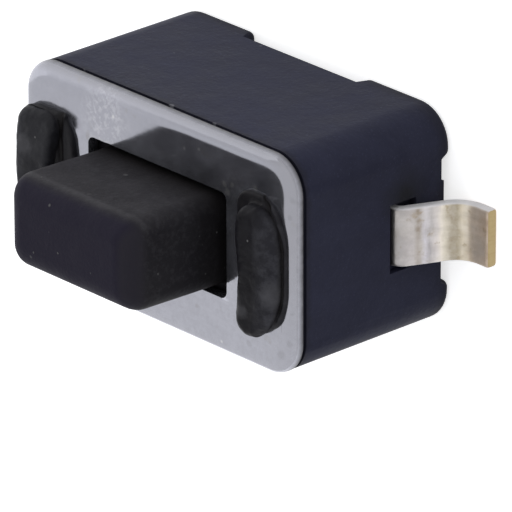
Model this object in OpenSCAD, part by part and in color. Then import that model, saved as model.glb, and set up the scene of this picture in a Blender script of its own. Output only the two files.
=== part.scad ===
// Surface-mount tactile push button with a staked metal cover and two formed leads.
// X runs along the leads, Y across the body, Z up from the board. Millimetres.

/* [Body] */
// Length of the moulded body, along the leads
body_l = 6; // [5.8:0.1:6.6]
// Width of the moulded body
body_w = 3.5; // [3.4:0.1:4.2]
// Radius of the body's upright corners
body_corner_r = 0.6; // [0.3:0.02:0.7]
// Height of the four corner feet
standoff_h = 0.2; // [0.14:0.02:0.2]
// Length of a corner foot, along the body
foot_l = 1.75; // [1.2:0.05:2]
// Width of a corner foot, across the body
foot_w = 0.75; // [0.5:0.05:0.9]
// Rounding of the edges under a foot
foot_edge_r = 0.2; // [0.05:0.01:0.24]
// Height of the body's underside between the feet, halfway along
waist_h = 0.3; // [0.22:0.02:0.4]
// Fillet at the ends of that raised stretch
waist_r = 0.08; // [0.03:0.01:0.12]
// Height of the small pad that backs each lead at the body's end
lead_pad_h = 0.05; // [0.02:0.01:0.1]
// Width of that pad
lead_pad_w = 1.3; // [1.1:0.05:1.6]
// Length of that pad
lead_pad_l = 0.5; // [0.3:0.05:0.8]
// How far the rim under the cover steps in
rim_step = 0.04; // [0.02:0.01:0.08]
// Height of that stepped rim
rim_h = 0.06; // [0.03:0.01:0.12]

/* [Cover plate] */
// Height of the cover's face above the board
cover_face_h = 3.2; // [3.1:0.05:3.8]
// Thickness of the cover plate
cover_t = 0.2; // [0.12:0.02:0.3]
// Corner radius of the cover plate
cover_corner_r = 0.58; // [0.3:0.02:0.7]
// Corner radius of the button's opening
opening_corner_r = 0.12; // [0.06:0.02:0.2]

/* [Stakes] */
// Distance from the body's end to the middle of a stake's post
stake_inset = 0.7; // [0.66:0.02:0.74]
// Size of the post along the body, where it passes the cover
stake_post_l = 0.86; // [0.6:0.02:0.9]
// Size of the post across the body
stake_post_w = 1.9; // [1.4:0.05:2]
// Corner radius of the post
stake_corner_r = 0.28; // [0.1:0.02:0.3]
// Gap round the post in the cover's slot
stake_gap = 0.02; // [0.01:0.01:0.04]
// Length of the thin skirt of melted plastic, along the body
skirt_l = 1.17; // [1:0.01:1.2]
// Width of the skirt, across the body
skirt_w = 2.28; // [2.1:0.02:2.4]
// How far the skirt is pushed towards the body's end
skirt_shift = 0.035; // [0:0.005:0.05]
// Thickness of the skirt
skirt_t = 0.08; // [0.04:0.01:0.12]
// Corner radius of the skirt
skirt_corner_r = 0.45; // [0.3:0.05:0.5]
// Length of the melted head, along the body
head_l = 0.74; // [0.7:0.02:0.8]
// Width of the melted head, across the body
head_w = 2.3; // [2:0.05:2.4]
// Height of the melted head above the cover
head_h = 0.45; // [0.3:0.01:0.5]
// How far the head is pushed towards the body's end
head_shift = 0.18; // [0.1:0.02:0.24]
// Rounding of the head's upright corners
head_corner_r = 0.34; // [0.2:0.01:0.34]
// Rounding along the top of the head
head_top_r = 0.28; // [0.1:0.01:0.29]

/* [Button] */
// Length of the button
button_l = 2.86; // [2.6:0.02:2.92]
// Width of the button
button_w = 1.5; // [1.3:0.05:1.7]
// Height of the pressed face above the board
button_face_h = 5; // [4.3:0.1:7]
// Rounding of the button's upright edges
button_side_r = 0.32; // [0.1:0.02:0.4]
// Rounding round the button's face
button_face_r = 0.42; // [0.1:0.01:0.45]
// Gap between the button and the cover's opening
button_gap = 0.1; // [0.05:0.01:0.12]
// How far the hidden flange reaches past the button's ends
flange_lip_l = 0.2; // [0.16:0.01:0.22]
// How far the hidden flange reaches past the button's sides
flange_lip_w = 0.3; // [0.2:0.02:0.4]
// Thickness of the flange
flange_t = 0.45; // [0.3:0.05:0.6]
// Corner radius of the flange
flange_corner_r = 0.2; // [0.1:0.02:0.25]
// Diameter of the plunger under the flange
plunger_d = 1.3; // [1:0.05:1.5]
// Diameter of the pip that presses the dome
pip_d = 0.7; // [0.5:0.05:0.8]
// Height of the pip
pip_h = 0.3; // [0.2:0.05:0.4]
// Fillet between the pip and the plunger
pip_fillet_r = 0.12; // [0.06:0.02:0.16]
// Play between the flange and the cover at rest
flange_play = 0.02; // [0.01:0.01:0.04]
// How far the button travels
key_travel = 0.25; // [0.15:0.01:0.28]

/* [Snap dome] */
// Diameter of the disc that the dome is cut from
dome_d = 3; // [2.9:0.02:3.04]
// Height of the dome over its feet, to its inner face
dome_rise = 0.3; // [0.29:0.01:0.36]
// Thickness of the dome
dome_t = 0.06; // [0.04:0.01:0.08]
// Length of the trimmed dome
dome_trim_l = 2.7; // [2.6:0.02:2.74]
// Width of the trimmed dome
dome_trim_w = 2; // [1.7:0.05:2.1]
// Gap between the dome and the pip at rest
dome_play = 0.01; // [0.005:0.005:0.02]

/* [Leads] */
// Distance between the tips of the two leads
lead_span = 8; // [7.6:0.1:9]
// Width of a lead
lead_w = 0.94; // [0.7:0.02:1]
// Thickness of the leads and contacts
lead_t = 0.2; // [0.12:0.01:0.24]
// Height of a lead's upper face where it leaves the body
lead_exit_h = 1.17; // [1.05:0.01:1.3]
// Lean of a lead's leg away from upright, in degrees
lead_lean = 24; // [10:1:30]
// Inner radius of the bend at the body
upper_bend_r = 0.1; // [0.03:0.01:0.15]
// Inner radius of the bend above the foot
lower_bend_r = 0.4; // [0.2:0.01:0.45]
// Depth of the pocket that the lead leaves the body through
exit_pocket_t = 0.14; // [0.08:0.01:0.2]
// Gap round the lead in that pocket
exit_pocket_gap = 0.08; // [0.03:0.01:0.1]
// Width of each arm of the forked contact
fork_arm_w = 0.4; // [0.3:0.02:0.42]
// How far the contacts reach past the dome's feet
contact_land = 0.1; // [0.09:0.01:0.15]
// Width of the tongue that carries the middle contact
tongue_w = 0.6; // [0.4:0.05:0.7]
// How far behind the nest's wall the tongue widens to the lead
tongue_setback = 0.12; // [0.08:0.01:0.2]
// Diameter of the middle contact's pad
centre_pad_d = 0.9; // [0.7:0.05:1]
// Diameter of the raised spot on that pad
contact_spot_d = 0.5; // [0.3:0.05:0.6]
// Radius of the notches that lock a lead in the moulding
lock_notch_r = 0.12; // [0.06:0.01:0.16]

/* [Cavity] */
// Gap between the flange and the cavity's walls
flange_gap = 0.08; // [0.05:0.01:0.1]
// Gap between the dome and its nest
nest_gap = 0.05; // [0.03:0.01:0.08]
// Depth of the dome's nest
nest_depth = 0.6; // [0.45:0.05:0.7]
// Corner radius of the dome's nest
nest_corner_r = 0.1; // [0.05:0.01:0.2]

/* [Hidden] */
$fn = 64;
joined = 0.1;                                    // overlap of shapes that are one solid
past = 1;                                        // how far a cutting shape runs past a face
bend_overlap = 0.02;                             // degrees a bend runs on into its straight ends

plastic_black = [0.13, 0.13, 0.15];
button_black = [0.1, 0.1, 0.11];
steel = [0.72, 0.73, 0.76];
silver_plate = [0.82, 0.8, 0.76];

cover_seat_h = cover_face_h - cover_t;           // where the cover lies on the housing
floor_h = lead_exit_h;                           // cavity floor, flush with the contacts
sheet_h = lead_exit_h - lead_t;                  // underside of the contact sheet

opening_l = button_l + 2 * button_gap;
opening_w = button_w + 2 * button_gap;
flange_l = button_l + 2 * flange_lip_l;
flange_w = button_w + 2 * flange_lip_w;
flange_top_h = cover_seat_h - flange_play;
flange_low_h = flange_top_h - flange_t;
cavity_l = flange_l + 2 * flange_gap;
cavity_w = flange_w + 2 * flange_gap;
nest_l = dome_trim_l + 2 * nest_gap;
nest_w = dome_trim_w + 2 * nest_gap;

dome_r = (pow(dome_d / 2, 2) + pow(dome_rise, 2)) / (2 * dome_rise);
dome_centre_h = floor_h + dome_rise - dome_r;
dome_top_h = floor_h + dome_rise + dome_t;
pip_low_h = dome_top_h + dome_play;
spot_h = dome_rise - key_travel;                 // the dome reaches the spot as the travel ends

stake_x = body_l / 2 - stake_inset;
bend_x = body_l / 2 - exit_pocket_t;             // where the lead starts to bend down
bend_h = sheet_h - upper_bend_r;                 // height of the upper bend's centre
offset_r = upper_bend_r + lead_t + lower_bend_r; // between the two bends' centre lines
leg_l = (bend_h - lead_t - lower_bend_r + offset_r * sin(lead_lean)) / cos(lead_lean);
foot_x = bend_x + offset_r * cos(lead_lean) + leg_l * sin(lead_lean);
leg_out = max(0, exit_pocket_t - upper_bend_r * cos(lead_lean));   // leg's run inside the pocket
leg_low_h = bend_h + upper_bend_r * sin(lead_lean) - leg_out / tan(lead_lean);
fork_x = dome_trim_l / 2 + contact_land;
fork_y = dome_trim_w / 2 + contact_land;

// ---- shared shapes ----

// Rectangle with round corners, centred
module round_rect(l, w, r) {
    square([l - 2 * r, w], center = true);
    square([l, w - 2 * r], center = true);
    for (x = [-1, 1], y = [-1, 1])
        translate([x * (l / 2 - r), y * (w / 2 - r)]) circle(r);
}

// Flat-bottomed outline with round upper corners, standing on the axis
module arch(l, h, r) {
    translate([-l / 2, 0]) square([l, h - r]);
    translate([-l / 2 + r, 0]) square([l - 2 * r, h]);
    for (x = [-1, 1]) translate([x * (l / 2 - r), h - r]) circle(r);
}

// Block with round upright corners and a round edge all round its top
module pillow(l, w, h, side_r, top_r) {
    intersection() {
        linear_extrude(h) round_rect(l, w, side_r);
        rotate([90, 0, 0]) linear_extrude(w + past, center = true) arch(l, h, top_r);
        rotate([90, 0, 90]) linear_extrude(l + past, center = true) arch(w, h, top_r);
    }
}

// Sector of a flat ring, from angle a to angle b
module ring_sector(inner_r, t, a, b) {
    reach = 2 * (inner_r + t);
    middle = (a + b) / 2;
    intersection() {
        difference() {
            circle(inner_r + t);
            circle(inner_r);
        }
        polygon([[0, 0],
                 reach * [cos(a), sin(a)],
                 reach * [cos(middle), sin(middle)],
                 reach * [cos(b), sin(b)]]);
    }
}

// ---- housing ----

module corner_foot() {
    foot_x0 = body_l / 2 - foot_l / 2;
    foot_y0 = body_w / 2 - foot_w / 2;
    block_h = standoff_h + joined;
    intersection() {
        linear_extrude(block_h) round_rect(body_l, body_w, body_corner_r);
        translate([foot_x0, foot_y0, block_h]) mirror([0, 0, 1])
            pillow(foot_l, foot_w, block_h, foot_edge_r, foot_edge_r);
    }
}

module housing_outside() {
    difference() {
        translate([0, 0, standoff_h]) linear_extrude(cover_seat_h - rim_h - standoff_h)
            round_rect(body_l, body_w, body_corner_r);
        rotate([90, 0, 0]) linear_extrude(body_w + past, center = true)
            arch(body_l - 2 * foot_l, waist_h, waist_r);
    }
    translate([0, 0, cover_seat_h - rim_h - joined]) linear_extrude(rim_h + joined)
        round_rect(body_l - 2 * rim_step, body_w - 2 * rim_step, body_corner_r);
    for (x = [0, 1], y = [0, 1]) mirror([x, 0, 0]) mirror([0, y, 0]) corner_foot();
    for (x = [-1, 1])
        translate([x * (body_l - lead_pad_l) / 2, 0, standoff_h + (joined - lead_pad_h) / 2])
            cube([lead_pad_l, lead_pad_w, lead_pad_h + joined], center = true);
}

// Post through the cover, with its skirt and head of melted plastic
module stake() {
    translate([0, 0, cover_seat_h - joined])
        linear_extrude(cover_t + 2 * joined) round_rect(stake_post_l, stake_post_w, stake_corner_r);
    translate([skirt_shift, 0, cover_face_h])
        pillow(skirt_l, skirt_w, skirt_t, skirt_corner_r, skirt_t / 2);
    translate([head_shift, 0, cover_face_h])
        pillow(head_l, head_w, head_h, head_corner_r, head_top_r);
}

module cavity() {
    translate([0, 0, floor_h + nest_depth])
        linear_extrude(cover_face_h - floor_h) round_rect(cavity_l, cavity_w, flange_corner_r);
    translate([0, 0, floor_h])
        linear_extrude(nest_depth + joined) round_rect(nest_l, nest_w, nest_corner_r);
}

// Pocket in the end wall that the lead leaves through
module exit_pocket() {
    pocket_w = lead_w + 2 * exit_pocket_gap;
    pocket_low_h = leg_low_h - exit_pocket_gap;
    translate([bend_x, -pocket_w / 2, pocket_low_h])
        cube([past, pocket_w, lead_exit_h + exit_pocket_gap - pocket_low_h]);
}

module housing() {
    color(plastic_black) {
        difference() {
            housing_outside();
            cavity();
            contact_sheet() tongue_outline();
            contact_sheet() fork_outline();
            for (x = [0, 1]) mirror([x, 0, 0]) exit_pocket();
        }
        for (x = [0, 1]) mirror([x, 0, 0]) translate([stake_x, 0, 0]) stake();
    }
}

// ---- cover plate ----

module cover_plate() {
    slot_l = stake_post_l + 2 * stake_gap;
    slot_w = stake_post_w + 2 * stake_gap;
    color(steel)
        translate([0, 0, cover_seat_h]) linear_extrude(cover_t) difference() {
            round_rect(body_l, body_w, cover_corner_r);
            round_rect(opening_l, opening_w, opening_corner_r);
            for (x = [-1, 1]) translate([x * stake_x, 0])
                round_rect(slot_l, slot_w, stake_corner_r + stake_gap);
        }
}

// ---- button ----

// Outline of the plunger and its pip, turned about the button's axis
module plunger_outline() {
    pip_r = pip_d / 2;
    plunger_low_h = pip_low_h + pip_h;
    translate([0, pip_low_h]) square([pip_r, pip_h + joined]);
    translate([0, plunger_low_h]) square([plunger_d / 2, flange_low_h - plunger_low_h + joined]);
    translate([pip_r, plunger_low_h - pip_fillet_r]) difference() {
        square(pip_fillet_r);
        translate([pip_fillet_r, 0]) circle(pip_fillet_r);
    }
}

module button() {
    color(button_black) {
        translate([0, 0, flange_top_h - joined])
            pillow(button_l, button_w, button_face_h - flange_top_h + joined,
                   button_side_r, button_face_r);
        translate([0, 0, flange_low_h])
            linear_extrude(flange_t) round_rect(flange_l, flange_w, flange_corner_r);
        rotate_extrude() plunger_outline();
    }
}

// ---- snap dome ----

// Shallow spherical shell, trimmed so that it stands on four small feet
module snap_dome() {
    color(steel) intersection() {
        translate([0, 0, dome_centre_h]) rotate([90, 0, 0]) difference() {
            sphere(dome_r + dome_t, $fn = 128);
            sphere(dome_r, $fn = 128);
        }
        translate([-dome_trim_l / 2, -dome_trim_w / 2, floor_h])
            cube([dome_trim_l, dome_trim_w, dome_rise + past]);
    }
}

// ---- terminals ----

module contact_sheet() {
    translate([0, 0, sheet_h]) linear_extrude(lead_t) children();
}

// Strip that runs from the cavity to the bend, bitten twice so that the plastic locks it
module lead_strip(inner_x) {
    notch_x = (cavity_l / 2 + bend_x) / 2;
    difference() {
        translate([inner_x, -lead_w / 2]) square([bend_x - inner_x, lead_w]);
        for (y = [-1, 1]) translate([notch_x, y * lead_w / 2]) circle(lock_notch_r);
    }
}

// Flat outline of the middle contact, on the -X side
module tongue_outline() {
    neck_x = nest_l / 2 + tongue_setback;
    mirror([1, 0]) lead_strip(neck_x);
    translate([-neck_x - joined, -tongue_w / 2]) square([neck_x + joined, tongue_w]);
    circle(d = centre_pad_d);
}

// Flat outline of the fork that carries the dome's four feet, on the +X side
module fork_outline() {
    lead_strip(fork_x - joined);
    translate([fork_x - fork_arm_w, -fork_y]) square([fork_arm_w, 2 * fork_y]);
    for (y = [-1, 1]) translate([-fork_x, y * (fork_y - fork_arm_w / 2) - fork_arm_w / 2])
        square([2 * fork_x, fork_arm_w]);
}

// Side view of a formed lead: straight, bend, leaning leg, bend, foot
module lead_side_view() {
    lower_bend_x = upper_bend_r + lead_t + lower_bend_r;
    translate([bend_x - joined, sheet_h]) square([joined, lead_t]);
    translate([bend_x, bend_h]) {
        ring_sector(upper_bend_r, lead_t, lead_lean - bend_overlap, 90 + bend_overlap);
        rotate(lead_lean) {
            translate([upper_bend_r, -leg_l]) square([lead_t, leg_l]);
            translate([lower_bend_x, -leg_l])
                ring_sector(lower_bend_r, lead_t, 180 - bend_overlap, 270 - lead_lean + bend_overlap);
        }
    }
    translate([foot_x, 0]) square([lead_span / 2 - foot_x, lead_t]);
}

module formed_lead() {
    rotate([90, 0, 0]) linear_extrude(lead_w, center = true) lead_side_view();
}

module terminal_left() {
    color(silver_plate) {
        mirror([1, 0, 0]) formed_lead();
        contact_sheet() tongue_outline();
        translate([0, 0, floor_h]) cylinder(h = spot_h, d = contact_spot_d);
    }
}

module terminal_right() {
    color(silver_plate) {
        formed_lead();
        contact_sheet() fork_outline();
    }
}

housing();
cover_plate();
button();
snap_dome();
terminal_left();
terminal_right();
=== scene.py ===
# %% [markdown]
# # A surface-mount push button, six millimetres long
# The real part is a moulded black housing with a bright steel plate on its face. Two plastic posts
# are pushed through the plate and melted over, a black plunger comes up through the middle, and two
# silver-plated strips bend down to the board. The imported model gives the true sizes, so this file
# dresses each node in finer shapes and finishes, and leaves its place alone.

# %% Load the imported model
import math
import bmesh
import bpy
from mathutils import Matrix, Vector, noise


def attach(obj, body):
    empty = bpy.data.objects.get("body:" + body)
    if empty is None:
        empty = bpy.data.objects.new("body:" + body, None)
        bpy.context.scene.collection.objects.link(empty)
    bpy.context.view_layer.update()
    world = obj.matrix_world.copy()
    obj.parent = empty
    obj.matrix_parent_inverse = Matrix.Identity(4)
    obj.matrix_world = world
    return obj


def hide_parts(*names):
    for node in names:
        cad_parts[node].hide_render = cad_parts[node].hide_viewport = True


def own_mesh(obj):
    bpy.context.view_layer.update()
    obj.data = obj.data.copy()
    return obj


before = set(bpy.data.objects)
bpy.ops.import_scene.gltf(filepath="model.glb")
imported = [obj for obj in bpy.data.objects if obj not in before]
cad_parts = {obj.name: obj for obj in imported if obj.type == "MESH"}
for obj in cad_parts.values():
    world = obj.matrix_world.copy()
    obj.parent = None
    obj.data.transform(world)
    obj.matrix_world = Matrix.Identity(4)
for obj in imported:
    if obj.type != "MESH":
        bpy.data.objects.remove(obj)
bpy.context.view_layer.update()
scene = bpy.context.scene
print("nodes:", sorted(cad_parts))

# %% [markdown]
# ## The camera
# The part is tiny, so it is seen from twelve centimetres through a very long lens, which keeps its
# long edges nearly parallel. The +Y side is at the top of the view, so the camera is rolled over
# rather than upright. Writing the three directions of the camera into its matrix says this plainly,
# where a look-at helper would turn it upright again. The near clip comes in to a millimetre.

# %% Camera
camera = bpy.data.objects.new("camera", bpy.data.cameras.new("camera"))
scene.collection.objects.link(camera)
scene.camera = camera
across = Vector((0.67710, -0.00220, -0.73589))
down = Vector((0.29076, -0.91783, 0.27027))
ahead = Vector((-0.67602, -0.39697, -0.62082))
turn = Matrix((across, -down, -ahead)).transposed().to_4x4()
stand = (0.081823, 0.046828, 0.076334)
camera.matrix_world = Matrix.Translation(stand) @ turn
camera.data.sensor_width = 36.0
camera.data.lens = 562.5
camera.data.clip_start, camera.data.clip_end = 0.001, 10.0
print("camera stands", round(camera.location.length * 1000), "mm away")

# %% [markdown]
# ## Shapes: rings and stacks
# Nearly every piece here is a flat rectangle with round corners that changes size as it rises.
# One helper lays such a ring by rounding the corners of a square, and a second one bridges a pile
# of rings into a closed solid. Working in millimetres keeps the numbers readable: the last step
# scales the mesh to metres, so each object still sits at the origin with its place in its mesh.

# %% Ring and stack helpers
MM = 0.001


def ring(bm, length, width, radius, height, x=0.0, y=0.0, steps=10):
    """A flat face with round corners, laid at a height."""
    corners = bmesh.ops.create_grid(bm, x_segments=1, y_segments=1, size=0.5)["verts"]
    bmesh.ops.scale(bm, vec=(length, width, 1.0), verts=corners)
    bmesh.ops.translate(bm, vec=(x, y, height), verts=corners)
    made = bmesh.ops.bevel(bm, geom=corners, affect="VERTICES", offset=radius, offset_type="OFFSET",
                           segments=steps, profile=0.5, material=-1, clamp_overlap=False)
    return made["verts"][0].link_faces[0]


def stack(bm, rings, caps=True, steps=10):
    """Bridges each ring to the next as a pair of its own, then welds the pairs into one wall."""
    for low, high in zip(rings, rings[1:]):
        pair = [ring(bm, *low, steps=steps), ring(bm, *high, steps=steps)]
        edges = [e for face in pair for e in face.edges]
        bmesh.ops.delete(bm, geom=pair, context="FACES_ONLY")
        bmesh.ops.bridge_loops(bm, edges=edges)
    if caps:
        ring(bm, *rings[0], steps=steps)
        ring(bm, *rings[-1], steps=steps)
    bmesh.ops.remove_doubles(bm, verts=bm.verts, dist=1e-5)


def quarter(length, width, radius, height, round_over, x=0.0, keep=0.0, count=7):
    """Rings that carry a wall over into a flat top along a quarter circle."""
    made = []
    for step in range(count + 1):
        angle = math.radians(90.0 * step / count)
        inset = round_over * (1.0 - math.cos(angle))
        made.append((length - 2 * inset, width - 2 * inset, max(radius - (1 - keep) * inset, 0.04),
                     height - round_over + round_over * math.sin(angle), x))
    return made


def outward(bm):
    """Turns every face outwards. Fresh faces have no normal yet, so they get one first."""
    bm.normal_update()
    bmesh.ops.recalc_face_normals(bm, faces=bm.faces)
    bm.normal_update()


def to_object(bm, name, body, nodes=(), sharp=38.0, weighted=True):
    """Turns the mesh outwards, scales it to metres and rides it on its body."""
    outward(bm)
    bmesh.ops.scale(bm, vec=(MM, MM, MM), verts=bm.verts)
    mesh = bpy.data.meshes.new(name)
    bm.to_mesh(mesh)
    bm.free()
    for face in mesh.polygons:
        face.use_smooth = True
    mesh.set_sharp_from_angle(angle=math.radians(sharp))
    piece = bpy.data.objects.new(name, mesh)
    scene.collection.objects.link(piece)
    if weighted:
        even = piece.modifiers.new("even normals", "WEIGHTED_NORMAL")
        even.keep_sharp = True
    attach(piece, body)
    if nodes:
        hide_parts(*nodes)
    size = [round(length / MM, 3) for length in piece.dimensions]
    print(name, "faces:", len(mesh.polygons), "size mm:", size)
    return piece


def edges_where(bm, test):
    """Edges whose two ends pass a test on (x, y, z)."""
    return [e for e in bm.edges if test(*e.verts[0].co) and test(*e.verts[1].co)]


def near(a, b):
    """Whether two lengths agree to a micrometre."""
    return abs(a - b) < 1e-3


def soften(bm, edges, offset, segments):
    """Rounds a list of edges."""
    bmesh.ops.bevel(bm, geom=edges, affect="EDGES", offset=offset, offset_type="OFFSET",
                    segments=segments, profile=0.5, material=-1, clamp_overlap=True)


# %% [markdown]
# ## Finishes: small node helpers
# All patterns read Object coordinates in millimetres, so a grain of 0.05 is a twentieth of a
# millimetre wherever it is used. A finish starts from the Principled shader, sets the plain numbers
# on its own sockets, and links only what really varies over the surface.

# %% Node helpers


def add(tree, kind, inputs=None, **settings):
    """One node. Inputs are numbers or the sockets that feed it."""
    made = tree.nodes.new(kind)
    for key, value in settings.items():
        setattr(made, key, value)
    for key, value in (inputs or {}).items():
        if isinstance(value, bpy.types.NodeSocket):
            tree.links.new(value, made.inputs[key])
        else:
            made.inputs[key].default_value = value
    return made


def finish(name, **sockets):
    """A Principled finish, its tree and its coordinates in millimetres."""
    material = bpy.data.materials.new(name)
    material.use_nodes = True
    tree = material.node_tree
    shader = tree.nodes["Principled BSDF"]
    for key, value in sockets.items():
        shader.inputs[key.replace("_", " ")].default_value = value
    place = add(tree, "ShaderNodeTexCoord").outputs["Object"]
    return material, tree, shader, stretched(tree, place, (1 / MM,) * 3)


def stretched(tree, place, scale):
    """The same coordinates with a scale for each axis. A small one draws a pattern out along it."""
    return add(tree, "ShaderNodeMapping", {"Vector": place, "Scale": scale}).outputs["Vector"]


def cloud(tree, place, scale, detail=3.0, rough=0.55):
    """Soft noise from 0 to 1, with features about 1 / scale millimetres across."""
    return add(tree, "ShaderNodeTexNoise", {"Vector": place, "Scale": scale, "Detail": detail,
               "Roughness": rough}).outputs["Fac"]


# %% [markdown]
# Values are then stretched, added and mixed. A chain of short helpers that each add one node reads
# like a sum, where a node editor would show a long row of boxes and wires.

# %% Sums and mixes


def calc(tree, operation, *values):
    """One Math node."""
    return add(tree, "ShaderNodeMath", dict(enumerate(values)), operation=operation).outputs[0]


def times(tree, a, b):
    return calc(tree, "MULTIPLY", a, b)


def plus(tree, a, b):
    return calc(tree, "ADD", a, b)


def remap(tree, value, low, high, to_low=0.0, to_high=1.0):
    """Stretches a value from one range to another and clamps it."""
    return add(tree, "ShaderNodeMapRange", {"Value": value, "From Min": low, "From Max": high,
               "To Min": to_low, "To Max": to_high}).outputs["Result"]


def distance(tree, a, b):
    """How far two places lie from each other."""
    return add(tree, "ShaderNodeVectorMath", {0: a, 1: b}, operation="DISTANCE").outputs["Value"]


def directions(tree, vector):
    """The x, y and z of a vector, as three sockets."""
    parts = add(tree, "ShaderNodeSeparateXYZ", {"Vector": vector}).outputs
    return parts["X"], parts["Y"], parts["Z"]


def facing(tree):
    """The x, y and z of the way that the surface points."""
    return directions(tree, add(tree, "ShaderNodeNewGeometry").outputs["Normal"])


def tint(tree, amount, plain, marked):
    """Goes from one colour to another by an amount from 0 to 1."""
    made = add(tree, "ShaderNodeMix", data_type="RGBA")
    tree.links.new(amount, made.inputs["Factor"])
    for socket, colour in ((made.inputs[6], plain), (made.inputs[7], marked)):
        if isinstance(colour, bpy.types.NodeSocket):
            tree.links.new(colour, socket)
        else:
            socket.default_value = (*colour, 1.0)
    return made.outputs[2]


# %% Specks, marks and bump


def specks(tree, place, per_mm, size, share):
    """Sparse dots: the middles of a few cells of a Voronoi pattern."""
    cells = add(tree, "ShaderNodeTexVoronoi", {"Vector": place, "Scale": per_mm}).outputs
    draw = add(tree, "ShaderNodeSeparateColor", {"Color": cells["Color"]}).outputs["Red"]
    chosen = remap(tree, draw, 1.0 - share, 1.0 - share + 0.02)
    return times(tree, chosen, remap(tree, cells["Distance"], size, size * 0.45))


def marks(tree, place, spots):
    """Small uneven marks, each given as (x, y, z, radius) in millimetres."""
    ragged = times(tree, cloud(tree, place, 9.0, 3.0, 0.6), 0.12)
    total = None
    for x, y, z, radius in spots:
        far = plus(tree, distance(tree, place, (x, y, z)), ragged)
        mark = remap(tree, far, radius + 0.06, radius * 0.5 + 0.06)
        total = mark if total is None else plus(tree, total, mark)
    return total


def raised(tree, height, distance, normal=None):
    """Bump, with its height in millimetres."""
    inputs = {"Height": height, "Distance": distance * MM}
    if normal is not None:
        inputs["Normal"] = normal
    return add(tree, "ShaderNodeBump", inputs).outputs["Normal"]


# %% [markdown]
# ## Floor, world and lamps
# The part rests on a plain pale sheet. The sheet is lit like paper and tops itself up, but only
# for the camera and for what mirrors it, so it reads as white and still keeps the soft shadow.
# The world is a big pale tent, brighter above and towards -X and +Y and dimmer round the right
# lead, and what is polished mirrors the same white backdrop that the camera sees. One very broad,
# weak lamp stands low on the -X, +Y side and lifts the long wall. A small strong one would draw a
# hard bright line along the plate's rolled edge.

# %% Floor
SHEET_HALF, TOP_UP = 0.6, 0.66     # half its side in metres, and the light that it adds to itself
bm = bmesh.new()
bmesh.ops.create_grid(bm, x_segments=1, y_segments=1, size=SHEET_HALF)
floor_mesh = bpy.data.meshes.new("floor")
bm.to_mesh(floor_mesh)
bm.free()
floor = bpy.data.objects.new("floor", floor_mesh)
scene.collection.objects.link(floor)
sheet = bpy.data.materials.new("pale sheet")
sheet.use_nodes = True
tree = sheet.node_tree
paper = tree.nodes["Principled BSDF"]
paper.inputs["Base Color"].default_value = (0.8, 0.8, 0.81, 1.0)
paper.inputs["Roughness"].default_value = 0.9
paper.inputs["Emission Color"].default_value = (1.0, 1.0, 1.0, 1.0)
path = add(tree, "ShaderNodeLightPath").outputs
seen = calc(tree, "MAXIMUM", path["Is Camera Ray"], path["Is Glossy Ray"])
tree.links.new(remap(tree, seen, 0.0, 1.0, 0.0, TOP_UP), paper.inputs["Emission Strength"])
floor.data.materials.append(sheet)

# %% World
BRIGHT_WAY = (-0.55, 0.45, 0.70)   # where the tent is brightest
DIM, BRIGHT = 0.20, 0.92
world = bpy.data.worlds.new("pale tent")
scene.world = world
world.use_nodes = True
tree = world.node_tree
tent = tree.nodes["Background"]
way = add(tree, "ShaderNodeTexCoord").outputs["Generated"]
towards = add(tree, "ShaderNodeVectorMath", {0: way, 1: BRIGHT_WAY}, operation="DOT_PRODUCT")
level = remap(tree, towards.outputs["Value"], -0.8, 0.6, DIM, BRIGHT)
tree.links.new(level, tent.inputs["Strength"])
tent.inputs["Color"].default_value = (0.97, 0.98, 1.0, 1.0)
backdrop = add(tree, "ShaderNodeBackground", {"Color": (1.0, 1.0, 1.0, 1.0), "Strength": 1.0})
path = add(tree, "ShaderNodeLightPath").outputs
mirrored = calc(tree, "MAXIMUM", path["Is Glossy Ray"], path["Is Transmission Ray"])
shown = calc(tree, "MAXIMUM", path["Is Camera Ray"], mirrored)
pick = add(tree, "ShaderNodeMixShader", {0: shown, 1: tent.outputs[0], 2: backdrop.outputs[0]})
tree.links.new(pick.outputs[0], tree.nodes["World Output"].inputs["Surface"])

# %% Lamp
LAMP_AT, LAMP_AIM, LAMP_SIDE, LAMP_POWER = (-150, 75, 20), (0, 0, 1.5), 300, 0.13   # mm and watts
light = bpy.data.lights.new("window", "AREA")
light.size, light.energy = LAMP_SIDE * MM, LAMP_POWER
window = bpy.data.objects.new("window", light)
scene.collection.objects.link(window)
window.location = Vector(LAMP_AT) * MM
window.rotation_mode = "QUATERNION"
window.rotation_quaternion = (Vector(LAMP_AIM) - Vector(LAMP_AT)).to_track_quat("-Z", "Y")
scene.view_settings.view_transform = "Standard"

# %% [markdown]
# ## Black plastics
# The housing is glass-filled nylon straight from a spark-eroded mould: a bluish black with a fine
# even grain and a dull sheen. The plunger is a blacker, drier resin that collects dust. The posts
# are the housing's own plastic, but melted, so they are smoother, with grey patches of scorching.
# Each post has its own copy of the finish, with painted light and shade. All of them use the same
# recipe with other numbers: colour from slow noise, grain from fast noise.

# %% Moulded plastic


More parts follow.
